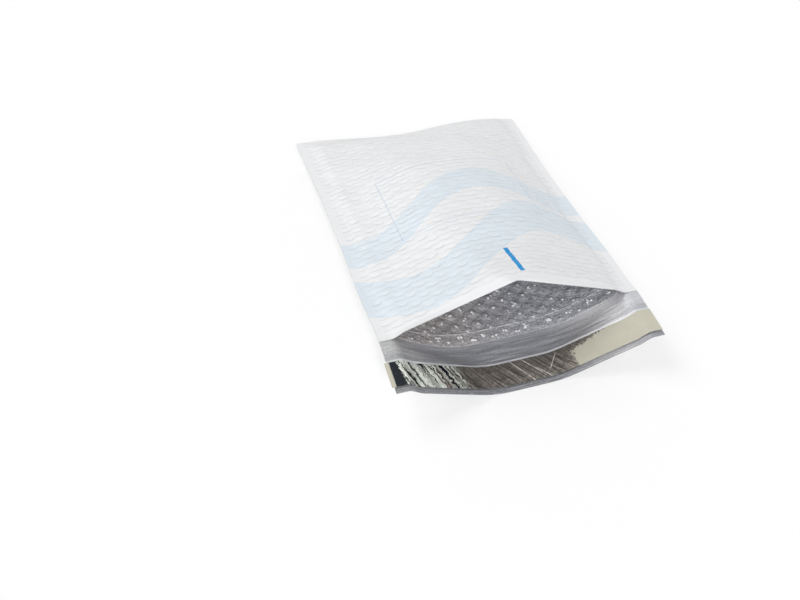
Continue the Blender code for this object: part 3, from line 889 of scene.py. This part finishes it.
def release_film():
    """Metallised release film: crinkled mirror with streaky painted reflections, then plain brown, then
    bare matt beige.
    """
    lining = bpy.context.scene.envelope_lining
    look = Finish("release_film")
    u, web = look.flat_place()
    down = web - MM * (2 * BODY + GREY_BAND)
    place = look.point(u, down)
    grain = look.noise(place, 0.7, 4.0, 0.6)
    curl = look.noise(look.point(u * 0.8, down * 0.6), 0.30, 2.0)
    slant = u - down * 0.45 + (grain - 0.5) * 1.6 + (curl - 0.5) * 7.0
    streak = look.noise(look.point(slant, down * 0.02), 0.17, 2.0, 0.5)
    narrow = look.noise(look.point(slant + 31.0, down * 0.03), 0.60, 2.0, 0.5)
    fine = look.noise(look.point(u - down * 0.72, down * 0.04), 0.75, 3.0, 0.6)
    blot = look.noise(place, 0.12, 3.0)
    # Painted reflections: the black and white stripes of the crinkled mirror part and the black patch at
    # its left end are painted into the colour.
    ramp = look.add("ShaderNodeValToRGB", {"stops": [
        (0.0, (0.006, 0.010, 0.014)), (0.390, (0.012, 0.016, 0.020)), (0.400, (0.80, 0.83, 0.76)),
        (0.440, (0.95, 0.97, 0.90)), (0.448, (0.03, 0.03, 0.03)), (0.478, (0.14, 0.11, 0.09)),
        (0.486, (0.92, 0.96, 0.88)), (0.535, (0.80, 0.88, 0.78)), (0.543, (0.012, 0.016, 0.018)),
        (0.575, (0.26, 0.21, 0.17)), (0.583, (0.95, 0.97, 0.90)), (0.630, (0.74, 0.78, 0.68)),
        (0.640, (0.03, 0.03, 0.03)), (1.0, (0.20, 0.18, 0.15))]}, Fac=streak)
    painted_reflections = look.mix(narrow.step(0.42, 0.38) * 0.9, ramp.outputs["Color"], (0.02, 0.022, 0.024))
    painted_reflections = look.mix(narrow.step(0.61, 0.65) * 0.7, painted_reflections, (0.85, 0.88, 0.80))
    patch = (u - down * 0.18 + (grain - 0.5) * 4.0).step(-112.5, -113.5)
    mirror = look.mix(patch, painted_reflections, (0.006, 0.010, 0.014))
    brown = look.mix(fine.step(0.35, 0.66), (0.085, 0.075, 0.066), (0.33, 0.295, 0.26))
    brown = look.mix(blot.step(0.5, 0.75) * 0.6, brown, (0.12, 0.105, 0.09))
    pale = (u - down * 0.6 + 8.0).size().step(0.7, 0.2)
    pale = pale.most((u - down * 0.85 - 1.0).size().step(2.2, 0.4) * fine.step(0.42, 0.55))
    pale = pale.most((u + down * 0.75 - 34.0).size().step(0.6, 0.2) * (down - 9.0).size().step(6.5, 5.5))
    brown = look.mix(pale * 0.85, brown, (0.88, 0.84, 0.76))
    browned = (u + (narrow - 0.5) * 110.0).step(-66.0, -50.0)
    mirror = look.mix(browned, mirror, brown)
    jag = look.noise(look.point(u, down * 0.8), 0.33, 5.0, 0.75) - 0.5
    cleared = (u + jag * 16.0 - 45.0).step(-0.4, 0.4)
    cleared = cleared * (down + (u - 78.0) * 0.2 + jag * 16.0).step(-0.3, 0.3)
    bare = cleared.most((u + MM * HALF - 1.0).step(1.0, -0.2))
    beige = look.mix(blot, tint(lining.liner_beige, 0.93), tint(lining.liner_beige, 1.10))
    colour = look.mix(bare, mirror, beige)
    look.set(Base_Color=colour, Roughness=0.18 + bare * 0.36 + fine * 0.10, Metallic=(1.0 - bare) * 0.5)
    look.bump(streak * (1.0 - bare) * 1.2 + grain * 0.2, 0.0010, 0.7)
    return look.material


def tacky_film():
    """Pressure-sensitive adhesive, a clear yellowish layer with small voids."""
    look = Finish("tacky_adhesive")
    source = look.add("ShaderNodeTexCoord")
    place = look.add("ShaderNodeMapping", {}, Vector=source.outputs["Object"], Scale=(MM, MM, MM))
    grain = look.noise(place.outputs["Vector"], 0.8, 4.0)
    colour = look.mix(grain.step(0.35, 0.65), (0.50, 0.46, 0.33), (0.62, 0.58, 0.45))
    look.set(Base_Color=colour, Roughness=0.18 + grain * 0.2)
    look.bump(grain, 0.0004, 0.5)
    return look.material


def settle(obj, node):
    """Puts a finished piece on the frame in place of its solid."""
    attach(obj, "root")
    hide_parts(node)


class MESH_OT_envelope_film(bpy.types.Operator):
    """Make the outer film, one web that runs from the mouth round the closed end and on into the flap"""

    bl_idname = "mesh.envelope_film"
    bl_label = "Outer film"

    def execute(self, context):
        settings = context.scene.envelope_film
        rows = film_rows()
        us = np.array(even(-HALF, HALF, FILM_COLUMNS))
        face = np.array([film_outer_row(us, row, settings) for row in rows])
        fold = UPPER_ROWS + 1
        lower = fold + FOLD_ROWS
        flap = lower + LOWER_ROWS + 1
        inner = [*range(0, fold, 8), *range(fold, lower, 2)]
        inner += [*range(lower, flap, 4), *range(flap, len(rows))]
        cols = list(range(0, FILM_COLUMNS + 1, 2))
        back = np.array([film_inner_row(us[cols], rows[i], settings) for i in inner])
        flat = np.array([[(u / WIDTH + 0.5, row[3] / WEB) for u in us] for row in rows])
        obj = thick_web("envelope_film", face, back, inner, cols, flat,
                        [white_film(), grey_film()], 60)
        settle(obj, "outer_film")
        return {"FINISHED"}


class MESH_OT_envelope_lining(bpy.types.Operator):
    """Make the air-cushion lining, one folded web with its bubbles facing into the pocket"""

    bl_idname = "mesh.envelope_lining"
    bl_label = "Air-cushion lining"

    def execute(self, context):
        settings = context.scene.envelope_lining
        near = even(LINING_LIP, NEAR_DEPTH, NEAR_ROWS)
        depths = near + even(near[-1], LINING_END, FAR_ROWS)[1:]
        rows = [(True, v, v) for v in depths] + [(False, v, 2 * BODY - v) for v in reversed(depths)]
        us = np.array(even(-LINING_HALF, LINING_HALF, LINING_COLUMNS))
        face = np.array([lining_row(us, upper, v, True, settings) for upper, v, _ in rows])
        stops = [*range(0, len(depths), 5), *range(len(depths), len(rows), 5)]
        cols = list(range(0, LINING_COLUMNS + 1, 4))
        back = np.array([lining_row(us[cols], rows[i][0], rows[i][1], False, settings) for i in stops])
        flat = np.array([[(u / WIDTH + 0.5, row[2] / WEB) for u in us] for row in rows])
        spots = np.array([glints(us, np.full(len(us), v), upper) for upper, v, _ in rows])
        obj = thick_web("air_cushion_lining", face, back, stops, cols, flat,
                        [air_cushion_film()], 70, spots)
        settle(obj, "bubble_lining")
        return {"FINISHED"}


class MESH_OT_envelope_strip(bpy.types.Operator):
    """Make the crinkled release liner over the adhesive strip"""

    bl_idname = "mesh.envelope_strip"
    bl_label = "Closing strip"

    def execute(self, context):
        settings = context.scene.envelope_lining
        us = np.array(even(-HALF - LINER_OVERHANG, HALF, LINER_COLUMNS))
        vs = even(-GREY_BAND - LINER_WIDTH, -GREY_BAND, LINER_ROWS)

        def crinkle(u, v):
            sharp = 1.0 - np.abs(ripples(u - 0.4 * v, v, 0.011, 8, 6, 0.5))
            return settings.crinkle * np.clip(sharp, 0.0, 1.0) * (0.35 + 0.65 * smooth((0.05 - u) / 0.05))

        height = 2 * CLEARANCE + ADHESIVE_THICKNESS
        face = strip_grid(us, vs, height + LINER_THICKNESS, crinkle)
        back = strip_grid(us, vs, height, crinkle)
        flat = np.array([[(u / WIDTH + 0.5, (2 * BODY - v) / WEB) for u in us] for v in vs])
        obj = thick_web("release_film", face, back, list(range(len(vs))), list(range(len(us))), flat,
                        [release_film()], 35)
        settle(obj, "release_liner")
        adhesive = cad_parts["adhesive_strip"]
        adhesive.data.materials.clear()
        adhesive.data.materials.append(tacky_film())
        return {"FINISHED"}


class SCENE_OT_envelope_stage(bpy.types.Operator):
    """Set the floor, the lamps, the room light and the camera"""

    bl_idname = "scene.envelope_stage"
    bl_label = "Studio"

    def execute(self, context):
        settings = context.scene.envelope_stage
        scene = context.scene
        bpy.ops.object.select_all(action="DESELECT")
        bpy.ops.mesh.primitive_plane_add(size=FLOOR_SIZE, location=(0.0, 0.0, 0.0))
        floor = context.object
        floor.name = "floor"
        tone = settings.floor_tone
        floor.data.materials.append(self.pale_floor(tone, settings.floor_lift))
        self.add_sun("side_light", SIDE_FROM, SIDE_SPREAD, settings.side)
        self.add_sun("front_light", FRONT_FROM, FRONT_SPREAD, settings.front)
        scene.world = self.white_room(settings.sky)
        lens = bpy.data.cameras.new("camera")
        lens.lens = LENS
        lens.sensor_width = SENSOR
        lens.clip_start, lens.clip_end = 0.01, 50.0
        camera = bpy.data.objects.new("camera", lens)
        camera.location = CAMERA_PLACE
        camera.rotation_euler = [math.radians(angle) for angle in CAMERA_TURN]
        scene.collection.objects.link(camera)
        scene.camera = camera
        scene.view_settings.view_transform = "Standard"
        return {"FINISHED"}

    def pale_floor(self, tone, lift):
        """A matt floor that the camera and polished faces see lifted towards white, shadows included."""
        look = Finish("pale_floor")
        look.set(Base_Color=(tone, tone, tone, 1.0), Roughness=0.85)
        look.shader.inputs["Specular IOR Level"].default_value = 0.0
        rays = look.add("ShaderNodeLightPath")
        seen = look.out(rays, "Is Camera Ray").most(look.out(rays, "Is Glossy Ray"))
        seen = seen.most(look.out(rays, "Is Transmission Ray")) * lift
        white = look.add("ShaderNodeEmission", {}, Color=(1.0, 1.0, 1.0, 1.0), Strength=1.0)
        mixed = look.add("ShaderNodeMixShader", {}, i0=seen, i1=look.shader.outputs[0], i2=white.outputs[0])
        look.feed(look.tree.nodes["Material Output"].inputs["Surface"], mixed.outputs[0])
        return look.material

    def white_room(self, strength):
        """Even light from all round, which the camera and polished faces see as plain white."""
        world = bpy.data.worlds.new("room")
        world.use_nodes = True
        tree = world.node_tree
        background = tree.nodes["Background"]
        background.inputs["Color"].default_value = (1.0, 1.0, 1.0, 1.0)
        rays = tree.nodes.new("ShaderNodeLightPath")
        seen = Value(tree, rays.outputs["Is Camera Ray"]).most(Value(tree, rays.outputs["Is Glossy Ray"]))
        seen = seen.most(Value(tree, rays.outputs["Is Transmission Ray"]))
        tree.links.new((seen * (1.0 - strength) + strength).socket, background.inputs["Strength"])
        return world

    def add_sun(self, name, place, spread, strength):
        """A distant lamp that shines from a place towards the origin."""
        data = bpy.data.lights.new(name, "SUN")
        data.angle = math.radians(spread)
        data.energy = strength
        lamp = bpy.data.objects.new(name, data)
        lamp.location = place
        aim = -lamp.location
        lamp.rotation_euler = aim.to_track_quat("-Z", "Y").to_euler()
        bpy.context.scene.collection.objects.link(lamp)


class VIEW3D_PT_envelope(bpy.types.Panel):
    """Sizes, colours and makers of the padded envelope"""

    bl_idname = "VIEW3D_PT_envelope"
    bl_label = "Padded envelope"
    bl_space_type = "VIEW_3D"
    bl_region_type = "UI"
    bl_category = "Padded envelope"

    def draw(self, context):
        for group in GROUPS:
            box = self.layout.box()
            for name in group.__annotations__:
                box.prop(getattr(context.scene, GROUPS[group]), name)
        for maker in MAKERS:
            self.layout.operator(maker.bl_idname)


GROUPS = {
    EnvelopeFilm: "envelope_film",
    EnvelopePrint: "envelope_print",
    EnvelopeLining: "envelope_lining",
    EnvelopeStage: "envelope_stage",
}
MAKERS = (MESH_OT_envelope_film, MESH_OT_envelope_lining, MESH_OT_envelope_strip, SCENE_OT_envelope_stage)


def register():
    for kind in (*GROUPS, *MAKERS, VIEW3D_PT_envelope):
        bpy.utils.register_class(kind)
    for group, name in GROUPS.items():
        setattr(bpy.types.Scene, name, PointerProperty(type=group))


def unregister():
    for name in GROUPS.values():
        delattr(bpy.types.Scene, name)
    for kind in (VIEW3D_PT_envelope, *reversed(MAKERS), *reversed(list(GROUPS))):
        bpy.utils.unregister_class(kind)


def main():
    register()
    bpy.ops.mesh.envelope_film()
    bpy.ops.mesh.envelope_lining()
    bpy.ops.mesh.envelope_strip()
    bpy.ops.scene.envelope_stage()


if __name__ == "__main__":
    main()
